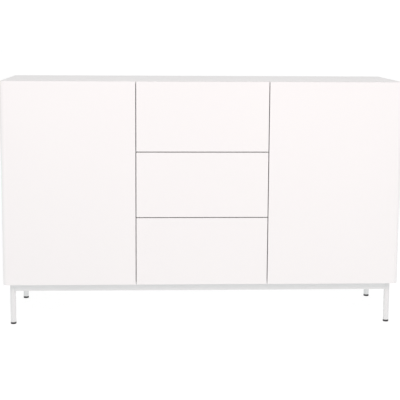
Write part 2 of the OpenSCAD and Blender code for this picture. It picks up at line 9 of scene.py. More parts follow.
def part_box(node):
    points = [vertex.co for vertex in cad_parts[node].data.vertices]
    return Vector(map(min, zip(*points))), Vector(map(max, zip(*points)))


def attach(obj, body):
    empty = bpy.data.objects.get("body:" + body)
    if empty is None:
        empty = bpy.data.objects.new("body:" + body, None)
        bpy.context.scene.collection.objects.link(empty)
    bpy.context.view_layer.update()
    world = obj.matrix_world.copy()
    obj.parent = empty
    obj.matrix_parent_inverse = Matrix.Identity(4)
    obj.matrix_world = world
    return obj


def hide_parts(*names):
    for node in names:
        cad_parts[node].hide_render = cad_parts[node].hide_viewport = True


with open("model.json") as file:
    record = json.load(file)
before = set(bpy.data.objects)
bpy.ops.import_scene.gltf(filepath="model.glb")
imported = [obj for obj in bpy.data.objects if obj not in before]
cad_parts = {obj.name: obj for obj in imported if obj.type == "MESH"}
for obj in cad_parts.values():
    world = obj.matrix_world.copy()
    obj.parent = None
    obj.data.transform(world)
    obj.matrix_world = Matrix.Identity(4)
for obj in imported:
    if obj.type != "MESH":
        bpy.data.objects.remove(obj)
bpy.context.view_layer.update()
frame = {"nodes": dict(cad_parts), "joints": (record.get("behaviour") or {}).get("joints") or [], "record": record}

MM = 0.001
JOIN_DISTANCE = 0.001 * MM  # corners closer than this are one corner

# ---- Node helpers ----

NOISE_LOW, NOISE_HIGH = 0.3, 0.7  # nearly all of a noise lies between these


def new_material(name):
    """A material with an empty tree apart from its Principled shader, and that shader."""
    material = bpy.data.materials.new(name)
    material.use_nodes = True
    return material, material.node_tree.nodes["Principled BSDF"]


def add_node(owner, kind, **settings):
    """A new node in a material or world. Each setting is a property, or the value of the input so named."""
    made = owner.node_tree.nodes.new(kind)
    for key, value in settings.items():
        if hasattr(made, key):
            setattr(made, key, value)
        else:
            made.inputs[key.replace("_", " ")].default_value = value
    return made


def link(owner, source, target):
    owner.node_tree.links.new(source, target)


def object_space(material, stretch=(1, 1, 1)):
    """Coordinates in metres that stay with the piece, stretched along its axes."""
    place = add_node(material, "ShaderNodeTexCoord")
    mapping = add_node(material, "ShaderNodeMapping", Scale=stretch)
    link(material, place.outputs["Object"], mapping.inputs["Vector"])
    return mapping.outputs["Vector"]


def noise(material, space, per_metre, detail=3.0, roughness=0.5):
    """Noise with the given number of features per metre."""
    made = add_node(material, "ShaderNodeTexNoise", Scale=per_metre, Detail=detail, Roughness=roughness)
    link(material, space, made.inputs["Vector"])
    return made.outputs["Fac"]


def spread(material, value, low, high):
    """Maps the middle of a noise onto low to high."""
    made = add_node(
        material, "ShaderNodeMapRange", From_Min=NOISE_LOW, From_Max=NOISE_HIGH, To_Min=low, To_Max=high
    )
    link(material, value, made.inputs["Value"])
    return made.outputs["Result"]


def blend_colours(material, value, low, high):
    """A colour between two, by the middle of a noise."""
    ramp = add_node(material, "ShaderNodeValToRGB")
    first, last = ramp.color_ramp.elements
    first.position, first.color = NOISE_LOW, (*low, 1)
    last.position, last.color = NOISE_HIGH, (*high, 1)
    link(material, value, ramp.inputs["Fac"])
    return ramp.outputs["Color"]


def tint(material, shader, value, low, high):
    """Sets the base colour to drift between two colours."""
    link(material, blend_colours(material, value, low, high), shader.inputs["Base Color"])


def vary_roughness(material, shader, value, low, high):
    """Sets the roughness to vary from low to high."""
    link(material, spread(material, value, low, high), shader.inputs["Roughness"])


def bump(material, shader, value, height, normal=None):
    """Adds relief of the given height in metres, on top of an earlier bump's normal."""
    made = add_node(material, "ShaderNodeBump", Strength=1.0, Distance=height)
    link(material, value, made.inputs["Height"])
    if normal:
        link(material, normal, made.inputs["Normal"])
    link(material, made.outputs["Normal"], shader.inputs["Normal"])
    return made.outputs["Normal"]


# ---- Materials ----


def lacquer(name, colour, shade):
    """Sprayed satin lacquer: orange peel over a long sanding ripple, with faint drifts of tone and gloss."""
    material, shader = new_material(name)
    space = object_space(material)
    drift = noise(material, space, per_metre=1.6, detail=2)
    tint(material, shader, drift, shade, colour)
    haze = noise(material, space, per_metre=9, detail=4, roughness=0.6)
    vary_roughness(material, shader, haze, low=0.36, high=0.46)
    ripple = noise(material, space, per_metre=22, detail=1)
    peel = noise(material, space, per_metre=420, detail=2)
    rippled = bump(material, shader, ripple, height=0.06 * MM)
    bump(material, shader, peel, height=0.012 * MM, normal=rippled)
    shader.inputs["Specular IOR Level"].default_value = 0.42
    shader.inputs["Coat Weight"].default_value = 0.12
    shader.inputs["Coat Roughness"].default_value = 0.3
    return material


def melamine(name, colour, shade):
    """Melamine-faced board: a fine pressed grain over pores, matt."""
    material, shader = new_material(name)
    space = object_space(material)
    drift = noise(material, space, per_metre=2.5, detail=2)
    tint(material, shader, drift, shade, colour)
    pores = noise(material, space, per_metre=900, detail=4, roughness=0.7)
    vary_roughness(material, shader, pores, low=0.46, high=0.58)
    bump(material, shader, pores, height=0.02 * MM)
    shader.inputs["Specular IOR Level"].default_value = 0.38
    return material


def hardboard(name, colour, shade):
    """Painted hardboard: felted fibres under a thin coat."""
    material, shader = new_material(name)
    space = object_space(material)
    fibres = noise(material, space, per_metre=260, detail=6, roughness=0.75)
    clouds = noise(material, space, per_metre=7, detail=4)
    tint(material, shader, clouds, shade, colour)
    vary_roughness(material, shader, fibres, low=0.55, high=0.72)
    bump(material, shader, fibres, height=0.05 * MM)
    return material


def powder_coat(name, colour, shade):
    """Powder coat on steel: a tight pebbled skin with a soft gloss."""
    material, shader = new_material(name)
    space = object_space(material)
    drift = noise(material, space, per_metre=12, detail=2)
    tint(material, shader, drift, shade, colour)
    pebble = noise(material, space, per_metre=1300, detail=2, roughness=0.4)
    vary_roughness(material, shader, pebble, low=0.3, high=0.44)
    bump(material, shader, pebble, height=0.03 * MM)
    shader.inputs["Coat Weight"].default_value = 0.15
    shader.inputs["Coat Roughness"].default_value = 0.25
    return material


def zinc_plate(name, colour, shade, stretch=(1, 1, 1)):
    """Zinc plating: cloudy passivation over rolling marks that run along the sheet."""
    material, shader = new_material(name)
    clouds = noise(material, object_space(material), per_metre=45, detail=5, roughness=0.6)
    tint(material, shader, clouds, shade, colour)
    marks = noise(material, object_space(material, stretch), per_metre=900, detail=3)
    vary_roughness(material, shader, marks, low=0.26, high=0.42)
    bump(material, shader, marks, height=0.003 * MM)
    shader.inputs["Metallic"].default_value = 1.0
    return material


def plastic(name, colour, shade, roughness):
    """Moulded plastic: spark-eroded texture and slight mould bloom."""
    material, shader = new_material(name)
    space = object_space(material)
    bloom = noise(material, space, per_metre=60, detail=3)
    tint(material, shader, bloom, shade, colour)
    spark = noise(material, space, per_metre=2200, detail=2)
    vary_roughness(material, shader, spark, low=roughness - 0.06, high=roughness + 0.06)
    bump(material, shader, spark, height=0.02 * MM)
    return material


def birch_wood(name, colour, shade):
    """Turned birch: long grain with faint rings."""
    material, shader = new_material(name)
    grain = noise(material, object_space(material, (40, 40, 4)), per_metre=12, detail=5, roughness=0.6)
    tint(material, shader, grain, shade, colour)
    vary_roughness(material, shader, grain, low=0.5, high=0.7)
    bump(material, shader, grain, height=0.05 * MM)
    return material


WHITE_LACQUER = lacquer("white_lacquer", (0.833, 0.833, 0.833), (0.823, 0.823, 0.824))
WHITE_BOARD = melamine("white_melamine", (0.80, 0.797, 0.79), (0.785, 0.781, 0.773))
BACK_BOARD = hardboard("white_hardboard", (0.758, 0.755, 0.748), (0.742, 0.739, 0.731))
ENAMEL = powder_coat("white_powder_coat", (0.75, 0.762, 0.764), (0.736, 0.748, 0.75))
ZINC = zinc_plate("zinc_plate", (0.68, 0.69, 0.71), (0.56, 0.57, 0.6))
RUNNER_ZINC = zinc_plate("rolled_zinc_plate", (0.70, 0.71, 0.73), (0.6, 0.61, 0.64), (1, 0.03, 1))
BALL_STEEL = zinc_plate("bright_steel", (0.8, 0.8, 0.81), (0.74, 0.74, 0.75))
BLACK = plastic("black_plastic", (0.035, 0.035, 0.037), (0.022, 0.022, 0.024), 0.5)
GREY = plastic("grey_plastic", (0.44, 0.45, 0.46), (0.39, 0.40, 0.41), 0.45)
BIRCH = birch_wood("birch_dowel", (0.66, 0.49, 0.30), (0.52, 0.36, 0.2))

SLOT_MATERIALS = {
    "white_lacquer": WHITE_LACQUER,
    "white_melamine": WHITE_BOARD,
    "white_hardboard": BACK_BOARD,
    "white_enamel": ENAMEL,
    "black_plastic": BLACK,
    "grey_plastic": GREY,
    "birch": BIRCH,
    "zinc": ZINC,
}
EDGE_WIDTH = {
    "white_lacquer": 1.1 * MM,
    "white_melamine": 0.5 * MM,
    "white_hardboard": 0.3 * MM,
    "white_enamel": 0.8 * MM,
    "black_plastic": 1.2 * MM,
    "grey_plastic": 0.8 * MM,
    "birch": 0.5 * MM,
    "zinc": 0.25 * MM,
}

# ---- The CAD nodes: materials and eased edges ----

SHARP_NODE_EDGE = 35  # degrees


def ease_edges(piece, width):
    """Joins the imported corners and rounds every sharp edge."""
    weld = piece.modifiers.new("join_corners", "WELD")
    weld.merge_threshold = JOIN_DISTANCE
    bevel = piece.modifiers.new("eased_edges", "BEVEL")
    bevel.width = width
    bevel.segments = 3
    bevel.limit_method = "ANGLE"
    bevel.angle_limit = math.radians(SHARP_NODE_EDGE)
    bevel.harden_normals = True
    bevel.use_clamp_overlap = True


def dress_nodes():
    """Gives every CAD node the material of its slot. Runner members are rolled along their length."""
    slots = {row["node"]: row["material_slot"] for row in frame["record"]["subparts"]}
    for name, piece in frame["nodes"].items():
        slot = slots[name]
        material = RUNNER_ZINC if "runner" in name else SLOT_MATERIALS[slot]
        for holder in piece.material_slots:
            holder.material = material
        ease_edges(piece, EDGE_WIDTH[slot])


dress_nodes()

# ---- Mesh helpers ----

UP = Vector((0, 0, 1))
FORWARD = Vector((0, -1, 0))
ROUND_STEPS = 8  # in a quarter turn of a rounded end


def loose_boxes(node):
    """The lowest and highest corner of each separate solid in a CAD node, ordered by place."""
    work = bmesh.new()
    work.from_mesh(frame["nodes"][node].data)
    bmesh.ops.remove_doubles(work, verts=work.verts, dist=JOIN_DISTANCE)
    left = set(work.verts)
    boxes = []
    while left:
        reach = [left.pop()]
        found = []
        while reach:
            vert = reach.pop()
            found.append(vert.co.copy())
            near = [edge.other_vert(vert) for edge in vert.link_edges]
            fresh = [other for other in near if other in left]
            left.difference_update(fresh)
            reach.extend(fresh)
        low = Vector([min(point[axis] for point in found) for axis in range(3)])
        high = Vector([max(point[axis] for point in found) for axis in range(3)])
        boxes.append((low, high))
    work.free()
    return sorted(boxes, key=lambda box: [round(value, 5) for value in box[0]])


def facing(place, out):
    """A matrix that puts an upright mesh at a place, with its top towards out."""
    return Matrix.Translation(place) @ out.to_track_quat("Z", "Y").to_matrix().to_4x4()


def finish_mesh(work, name, sharp_degrees=40):
    """Turns a bmesh into a mesh with outward normals, smooth but for its sharp edges."""
    bmesh.ops.remove_doubles(work, verts=work.verts, dist=JOIN_DISTANCE)
    bmesh.ops.recalc_face_normals(work, faces=work.faces)
    mesh = bpy.data.meshes.new(name)
    work.to_mesh(mesh)
    work.free()
    mesh.shade_smooth()
    mesh.set_sharp_from_angle(angle=math.radians(sharp_degrees))
    return mesh


def revolve(work, profile, steps):
    """Adds a solid of revolution about Z. Its profile of (radius, height) points runs from axis to axis."""
    rings = []
    for radius, height in profile:
        turns = steps if radius > 0 else 1
        angles = [2 * math.pi * step / steps for step in range(turns)]
        rings.append([work.verts.new((radius * math.cos(a), radius * math.sin(a), height)) for a in angles])
    for below, above in zip(rings, rings[1:]):
        for step in range(steps):
            after = (step + 1) % steps
            corners = [below[step % len(below)], below[after % len(below)]]
            corners += [above[after % len(above)], above[step % len(above)]]
            work.faces.new(list(dict.fromkeys(corners)))


def arc(centre, radius, start, end, count):
    """Points on an arc in the profile plane, with its angles in degrees."""
    turns = [math.radians(start + (end - start) * step / count) for step in range(count + 1)]
    return [(centre[0] + radius * math.cos(turn), centre[1] + radius * math.sin(turn)) for turn in turns]


def prism(work, outline, low, high, shrink=1.0):
    """Adds an upright prism over a flat outline, its foot drawn in by the factor shrink."""
    foot = [work.verts.new((x * shrink, y * shrink, low)) for x, y in outline]
    head = [work.verts.new((x, y, high)) for x, y in outline]
    work.faces.new(foot[::-1])
    work.faces.new(head)
    for step in range(len(outline)):
        after = (step + 1) % len(outline)
        work.faces.new((foot[step], foot[after], head[after], head[step]))


def cut_from(mesh, cutter, name):
    """The mesh less the cutter, worked out exactly."""
    body = bpy.data.objects.new("cut_body", mesh)
    knife = bpy.data.objects.new("cut_knife", cutter)
    for piece in (body, knife):
        bpy.context.scene.collection.objects.link(piece)
    step = body.modifiers.new("cut", "BOOLEAN")
    step.operation = "DIFFERENCE"
    step.solver = "EXACT"
    step.object = knife
    bpy.context.view_layer.update()
    shape = body.evaluated_get(bpy.context.evaluated_depsgraph_get())
    work = bmesh.new()
    work.from_mesh(shape.to_mesh())
    shape.to_mesh_clear()
    for piece in (body, knife):
        bpy.data.objects.remove(piece)
    return finish_mesh(work, name)


def add_piece(name, mesh, places, body, material, node=None):
    """One object made of copies of a mesh, which rides on a body and may stand for a CAD node."""
    work = bmesh.new()
    for place in places:
        copy = mesh.copy()
        copy.transform(place)
        work.from_mesh(copy)
        bpy.data.meshes.remove(copy)
    joined = bpy.data.meshes.new(name)
    work.to_mesh(joined)
    work.free()
    joined.materials.append(material)
    piece = bpy.data.objects.new(name, joined)
    bpy.context.scene.collection.objects.link(piece)
    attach(piece, body)
    if node:
        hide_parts(node)
    return piece


# ---- Screws ----

SCREW_STEPS = 40
DOME_STEPS = 8
# Each of these is a share of one of a screw's own sizes.
TIP_FLAT = 0.4  # the point's width, of the thread's root
THREAD_ROOT = 0.72  # of the thread's crest
THREAD_START = 1.5  # of the thread's root, up from the point
THREAD_END = 0.2  # of a turn, down from the head
CREST_SPAN = (0.45, 0.55)  # of a turn
HEAD_SEAT = 0.96  # the underside's radius, of the head's
HEAD_LIP = 0.08  # of the head's height
DOME_START = 0.25  # of the head's height
DOME_POWER = 0.6  # under 1, this squares the dome's shoulder
CROSS_REACH, CROSS_HALF = 0.56, 0.13  # of the head's radius
CROSS_TAPER = 0.45  # the recess's foot, of its mouth
CROSS_LOW, CROSS_HIGH = 0.1, 1.5  # of the head's height, below and above its seat


def cross_outline(reach, half):
    """A plus sign with arms of the given reach and half width."""
    quarter = [(reach, -half), (reach, half), (half, half)]
    turns = [Matrix.Rotation(math.pi / 2 * step, 2) for step in range(4)]
    return [tuple(turn @ Vector(point)) for turn in turns for point in quarter]


def screw_mesh(name, head_r, head_h, shank_r, shank_l, pitch):
    """A cross-recess screw along Z, with the underside of its head at the origin and its thread below."""
    crest, root = shank_r, shank_r * THREAD_ROOT
    profile = [(0, -shank_l), (root * TIP_FLAT, -shank_l + root)]
    turns = int((shank_l - 2 * root) / pitch)
    for turn in range(turns):
        height = -shank_l + THREAD_START * root + turn * pitch
        profile.append((root, height))
        profile += [(crest, height + pitch * share) for share in CREST_SPAN]
    profile += [(root, -THREAD_END * pitch), (root, 0), (head_r * HEAD_SEAT, 0), (head_r, head_h * HEAD_LIP)]
    for step in range(DOME_STEPS):
        turn = math.pi / 2 * step / DOME_STEPS
        height = head_h * (DOME_START + (1 - DOME_START) * math.sin(turn))
        profile.append((head_r * math.cos(turn) ** DOME_POWER, height))
    profile.append((0, head_h))
    work = bmesh.new()
    revolve(work, profile, SCREW_STEPS)
    knife = bmesh.new()
    outline = cross_outline(head_r * CROSS_REACH, head_r * CROSS_HALF)
    prism(knife, outline, -head_h * CROSS_LOW, head_h * CROSS_HIGH, shrink=CROSS_TAPER)
    return cut_from(finish_mesh(work, name + "_blank"), finish_mesh(knife, name + "_recess"), name)


def screw_places(boxes, head_h, out_of):
    """A matrix for each screw's box, where out_of gives the way that a screw's head faces."""
    places = []
    for low, high in boxes:
        middle = (low + high) / 2
        out = out_of(middle)
        reach = abs((high - low).dot(out)) / 2
        places.append(facing(middle + out * (reach - head_h), out))
    return places


def inward(middle):
    """Towards the cabinet's middle plane."""
    return Vector((-math.copysign(1, middle.x), 0, 0))


def make_screws():
    """Screws that stand for the CAD's plain ones: in the stand, the hinge plates and the hinge cups."""
    stand_head = {"head_r": 5 * MM, "head_h": 3 * MM}
    screw = screw_mesh("frame_screw", **stand_head, shank_r=2.5 * MM, shank_l=17 * MM, pitch=1.8 * MM)
    places = screw_places(loose_boxes("frame_screws"), stand_head["head_h"], lambda middle: -UP)
    add_piece("stand_screws", screw, places, "root", ZINC, "frame_screws")
    hinge_screw = {"head_r": 3.5 * MM, "head_h": 1.6 * MM, "shank_r": 1.75 * MM, "pitch": 1.3 * MM}
    screw = screw_mesh("plate_screw", **hinge_screw, shank_l=13 * MM)
    places = screw_places(loose_boxes("hinge_plate_screws"), hinge_screw["head_h"], inward)
    add_piece("plate_screws", screw, places, "root", ZINC, "hinge_plate_screws")
    screw = screw_mesh("cup_screw", **hinge_screw, shank_l=12 * MM)
    for side in ("left", "right"):
        node = side + "_hinge_screws"
        places = screw_places(loose_boxes(node), hinge_screw["head_h"], lambda middle: -FORWARD)
        add_piece(side + "_cup_screws", screw, places, side + "_door", ZINC, node)


make_screws()

# ---- Hinges ----

ADJUSTER_PLACES = (8 * MM, 34 * MM)  # in front of the arm's back end


def make_hinge_adjusters():
    """The two screws on each hinge arm that set the door's depth and its side gap."""
    adjuster = screw_mesh(
        "hinge_adjuster", head_r=3.6 * MM, head_h=1.5 * MM, shank_r=1.9 * MM, shank_l=6 * MM, pitch=1.2 * MM
    )
    for side in ("left", "right"):
        places = []
        for low, high in loose_boxes(side + "_hinge_arms"):
            middle = (low + high) / 2
            out = inward(middle)
            face_x = high.x if out.x > 0 else low.x
            for step in ADJUSTER_PLACES:
                places.append(facing(Vector((face_x, high.y - step, middle.z)), out))
        add_piece(side + "_hinge_adjusters", adjuster, places, "root", BALL_STEEL)


make_hinge_adjusters()

# ---- Push latches ----

PLUNGER_STEPS = 48
TIP_ROUND = 1.6 * MM
GROOVE_RADIUS = 0.86  # of the plunger's
GROOVE = (-3.2 * MM, -2.9 * MM, -2.3 * MM, -2.0 * MM)  # its edge, floor, floor and edge, from the tip
EAR_T = 3 * MM
EAR_W = 14 * MM
EAR_REACH = 10 * MM
EAR_BURIED = 0.5 * MM
EAR_EDGE = 0.6 * MM


def make_latch_tips():
    """Each plunger with a rounded tip and a moulded collar groove."""
    for side in ("left", "right"):
        node = side + "_latch_plunger"
        low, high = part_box(node)
        radius = (high.x - low.x) / 2
        length = high.y - low.y
        floor_r = radius * GROOVE_RADIUS
        profile = [(0, -length), (radius, -length)]
        profile += list(zip((radius, floor_r, floor_r, radius), GROOVE))
        profile += arc((radius - TIP_ROUND, -TIP_ROUND), TIP_ROUND, 0, 90, ROUND_STEPS) + [(0, 0)]
        work = bmesh.new()
        revolve(work, profile, PLUNGER_STEPS)
        tip = Vector(((low.x + high.x) / 2, low.y, (low.z + high.z) / 2))
        mesh = finish_mesh(work, side + "_plunger")
        place = facing(tip, FORWARD)
        add_piece(side + "_plunger", mesh, [place], side + "_latch", BLACK, node)


def make_latch_ears():
    """A moulded ear each side of each latch housing, and the screws that hold the ears to the top panel."""
    end_x = EAR_REACH - EAR_W / 2
    round_end = arc((end_x, 0), EAR_W / 2, -90, 90, 2 * ROUND_STEPS)
    outline = [(-EAR_BURIED, -EAR_W / 2)] + round_end + [(-EAR_BURIED, EAR_W / 2)]
    work = bmesh.new()
    prism(work, outline, -EAR_T, 0)
    lower_edges = [edge for edge in work.edges if all(vert.co.z < -EAR_T / 2 for vert in edge.verts)]
    bmesh.ops.bevel(work, geom=lower_edges, offset=EAR_EDGE, segments=3, affect="EDGES", profile=0.5)
    ear = finish_mesh(work, "latch_ear")
    screw = screw_mesh(
        "latch_screw", head_r=3.2 * MM, head_h=1.6 * MM, shank_r=1.6 * MM, shank_l=13 * MM, pitch=1.2 * MM
    )
    ears, screws = [], []
    for low, high in loose_boxes("latch_housings"):
        middle_y = (low.y + high.y) / 2
        for side_x, turn in ((high.x, 0), (low.x, math.pi)):
            ears.append(Matrix.Translation((side_x, middle_y, high.z)) @ Matrix.Rotation(turn, 4, "Z"))
            screws.append(facing(ears[-1] @ Vector((end_x, 0, -EAR_T)), -UP))
    add_piece("latch_ears", ear, ears, "root", GREY)
    add_piece("latch_screws", screw, screws, "root", ZINC)


make_latch_tips()
make_latch_ears()

# ---- Runners: ball cages ----

CHANNEL_H = 45 * MM  # the height of the channels on the cabinet
RUNNER_WALL = 1.2 * MM
BALL_R = 1.45 * MM
CAGE_T = 0.5 * MM
CAGE_EDGE = 1.2 * MM  # the width of the strips beside the windows
CAGE_MARGIN = 1 * MM
HALF_TIE = 1.2 * MM  # half the width of the tie between two windows
WINDOW_PITCH = 7 * MM
BALLS_AT_END = 5


def cage_strip(work, low, high, z):
    """Adds a flat strip between two corners in plan, at height z. Returns its windows' middles along Y."""
    count = int((high.y - low.y) / WINDOW_PITCH)
    ys = [low.y]
    for step in range(count):
        start = low.y + step * WINDOW_PITCH
        ys += [start + HALF_TIE, start + WINDOW_PITCH - HALF_TIE]
    ys.append(high.y)
    xs = [low.x, low.x + CAGE_EDGE, high.x - CAGE_EDGE, high.x]
    grid = [[work.verts.new((x, y, z - CAGE_T / 2)) for x in xs] for y in ys]
    sheet = []
    for row in range(len(ys) - 1):
        near, far = grid[row], grid[row + 1]
        for column in range(3):
            is_window = column == 1 and row % 2 == 1
            if not is_window:
                corners = (near[column], near[column + 1], far[column + 1], far[column])
                sheet.append(work.faces.new(corners))
    bmesh.ops.solidify(work, geom=sheet, thickness=-CAGE_T)
    return [low.y + (step + 0.5) * WINDOW_PITCH for step in range(count)]


def add_balls(work, x, ys, z):
    """Balls in the windows at both ends of a strip."""
    for y in ys[:BALLS_AT_END] + ys[-BALLS_AT_END:]:
        place = Matrix.Translation((x, y, z))
        bmesh.ops.create_icosphere(work, subdivisions=2, radius=BALL_R, matrix=place)


def make_ball_cages():
    """Cages between each cabinet channel and its slide, and between the slide and the drawer's runner."""
    travel = {joint["name"]: joint["range_m"][1] for joint in frame["joints"] if joint["type"] == "slide"}
    still = [Matrix.Identity(4)]
    for row in ("top", "middle", "bottom"):
        reach = travel["runner_%s_slide" % row]
        cages, balls = bmesh.new(), bmesh.new()
        for slide, rider in zip(loose_boxes(row + "_runner_slides"), loose_boxes(row + "_drawer_runners")):
            middle_z = (slide[0].z + slide[1].z) / 2
            slide_h = slide[1].z - slide[0].z
            rider_h = rider[1].z - rider[0].z
            # Each cage lies midway between the facing walls of its two members.
            outer_z = (slide_h + (CHANNEL_H - 2 * RUNNER_WALL)) / 4
            inner_z = (rider_h + (slide_h - 2 * RUNNER_WALL)) / 4
            low_x = max(slide[0].x, rider[0].x) + CAGE_MARGIN
            high_x = min(slide[1].x, rider[1].x) - CAGE_MARGIN
            for turn in (-1, 1):
                for offset, low_y, high_y in (
                    (outer_z, slide[0].y + reach + CAGE_MARGIN, slide[1].y - CAGE_MARGIN),
                    (inner_z, slide[0].y + CAGE_MARGIN, slide[1].y - reach - CAGE_MARGIN),
                ):
                    z = middle_z + turn * offset
                    ys = cage_strip(cages, Vector((low_x, low_y, 0)), Vector((high_x, high_y, 0)), z)
                    add_balls(balls, (low_x + high_x) / 2, ys, z)
        cage = finish_mesh(cages, row + "_cages")
        add_piece(row + "_ball_cages", cage, still, row + "_runner", RUNNER_ZINC)
        ball = finish_mesh(balls, row + "_balls", sharp_degrees=80)
        add_piece(row + "_balls", ball, still, row + "_runner", BALL_STEEL)


make_ball_cages()

# ---- Drawer corners ----

BRACKET_LEG = 26 * MM
BRACKET_H = 16 * MM
BRACKET_T = 1.6 * MM
BRACKET_BEND = 2.2 * MM
BRACKET_END = 0.05 * MM  # half the width left at the very end of a leg
BRACKET_HEIGHTS = (0.3, 0.75)  # up the drawer's side
BRACKET_SCREW_AT = BRACKET_LEG * 0.62  # from the corner
BEND_STEPS = 6


def bracket_mesh():
    """An angle bracket with round ends and a bent corner. Its legs run along +X and +Z from the origin."""
    radius = BRACKET_H / 2
    length = BRACKET_LEG - radius
    round_end = [radius * math.sin(math.pi / 2 * step / ROUND_STEPS) for step in range(ROUND_STEPS + 1)]
    stations = [(length + step, 0) for step in round_end[::-1]] + [(BRACKET_BEND, 0)]
    stations += arc((BRACKET_BEND, BRACKET_BEND), BRACKET_BEND, 270, 180, BEND_STEPS)[1:]
    stations += [(0, length + step) for step in round_end]
    work = bmesh.new()
    rows = []
    for x, z in stations:
        along = max(x, z) - length
        half = radius if along <= 0 else max(math.sqrt(max(radius**2 - along**2, 0)), BRACKET_END)
        rows.append([work.verts.new((x, y, z)) for y in (-half, 0, half)])
    sheet = []
    for near, far in zip(rows, rows[1:]):
        for column in range(2):
            sheet.append(work.faces.new((near[column], near[column + 1], far[column + 1], far[column])))
    bmesh.ops.recalc_face_normals(work, faces=sheet)
    bmesh.ops.solidify(work, geom=sheet, thickness=BRACKET_T)
    return finish_mesh(work, "corner_bracket", sharp_degrees=50)


def make_drawer_brackets():
    """Angle brackets that hold each drawer's sides to its front, and their screws."""
    bracket = bracket_mesh()
    screw = screw_mesh(
        "bracket_screw", head_r=3 * MM, head_h=1.3 * MM, shank_r=1.6 * MM, shank_l=10 * MM, pitch=1.2 * MM
    )
    for row in ("top", "middle", "bottom"):
        front_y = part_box(row + "_drawer_front")[1].y
        brackets, screws = [], []
        for low, high in loose_boxes(row + "_drawer_sides"):
            out = inward((low + high) / 2)
            face_x = high.x if out.x > 0 else low.x
            turn = Matrix((out, -UP if out.x > 0 else UP, -FORWARD)).transposed().to_4x4()
            for share in BRACKET_HEIGHTS:
                corner = Vector((face_x, front_y, low.z + (high.z - low.z) * share))
                brackets.append(Matrix.Translation(corner) @ turn)
                screws.append(facing(corner + out * BRACKET_T - FORWARD * BRACKET_SCREW_AT, out))
                screws.append(facing(corner - FORWARD * BRACKET_T + out * BRACKET_SCREW_AT, -FORWARD))
        body = row + "_drawer"
        add_piece(row + "_drawer_brackets", bracket, brackets, body, ZINC)
        add_piece(row + "_bracket_screws", screw, screws, body, ZINC)


make_drawer_brackets()

# ---- Back panels: nails ----

NAIL_STEPS = 20
NAIL_PITCH = 105 * MM
NAIL_INSET = 4 * MM


def nail_mesh():
    """A nail along Z, with a low domed head on the origin and a pointed shank below."""
    head_r, head_h, shank_r, shank_l = 2.1 * MM, 0.7 * MM, 0.7 * MM, 16 * MM
    point_l, neck_l = 1.5 * MM, 0.1 * MM
    dome_steps = 6
    profile = [(0, -shank_l), (shank_r, -shank_l + point_l), (shank_r, -neck_l), (head_r, 0)]
    for step in range(1, dome_steps):
        turn = math.pi / 2 / dome_steps * step
        profile.append((head_r * math.cos(turn), head_h * math.sin(turn)))
    profile.append((0, head_h))
    work = bmesh.new()
    revolve(work, profile, NAIL_STEPS)
    return finish_mesh(work, "nail", sharp_degrees=60)


def shared_out(low, high):
    """Points from low to high, both included, no more than a nail's pitch apart."""
    count = math.ceil((high - low) / NAIL_PITCH)
    return [low + (high - low) * step / count for step in range(count + 1)]


def make_back_nails():
    """Nails round the edge of each back panel."""
    places = []
    for side in ("left", "middle", "right"):
        low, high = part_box(side + "_back_panel")
        xs = shared_out(low.x + NAIL_INSET, high.x - NAIL_INSET)
        zs = shared_out(low.z + NAIL_INSET, high.z - NAIL_INSET)
        points = [(x, z) for x in xs for z in (zs[0], zs[-1])]
        points += [(x, z) for z in zs[1:-1] for x in (xs[0], xs[-1])]
        places += [facing(Vector((x, high.y, z)), -FORWARD) for x, z in points]
    add_piece("back_nails", nail_mesh(), places, "root", ZINC)


make_back_nails()

# ---- Stand: welds ----

WELD_R = 1.3 * MM
SWELL, SWELL_TURN = 0.16, 1.9  # a share of the bead's radius, and radians from point to point
DRIFT, DRIFT_TURN = 0.07, 0.7  # the same, for a slower and smaller wave
RING_STEPS = 40


def weld_bead(curve, points):
    """Adds a closed bead with the swells of a hand-laid weld."""
    line = curve.splines.new("POLY")
    line.points.add(len(points) - 1)
    line.use_cyclic_u = True
    for step, (spot, point) in enumerate(zip(line.points, points)):
        spot.co = (*point, 1)
        spot.radius = 1 + SWELL * math.sin(step * SWELL_TURN) + DRIFT * math.sin(step * DRIFT_TURN)


def rail_end_loop(centre, heading, leg_r, half_w, low_z, high_z):
    """A loop round a rail's end, on the surface of its leg."""
    span = math.asin(half_w / leg_r)
    arc_steps, side_steps = 12, 18
    turns = [heading - span + 2 * span * step / arc_steps for step in range(arc_steps + 1)]
    heights = [low_z + (high_z - low_z) * step / side_steps for step in range(1, side_steps)]
    spots = [(turn, low_z) for turn in turns] + [(turns[-1], z) for z in heights]
    spots += [(turn, high_z) for turn in turns[::-1]] + [(turns[0], z) for z in heights[::-1]]
    return [(centre.x + leg_r * math.cos(turn), centre.y + leg_r * math.sin(turn), z) for turn, z in spots]


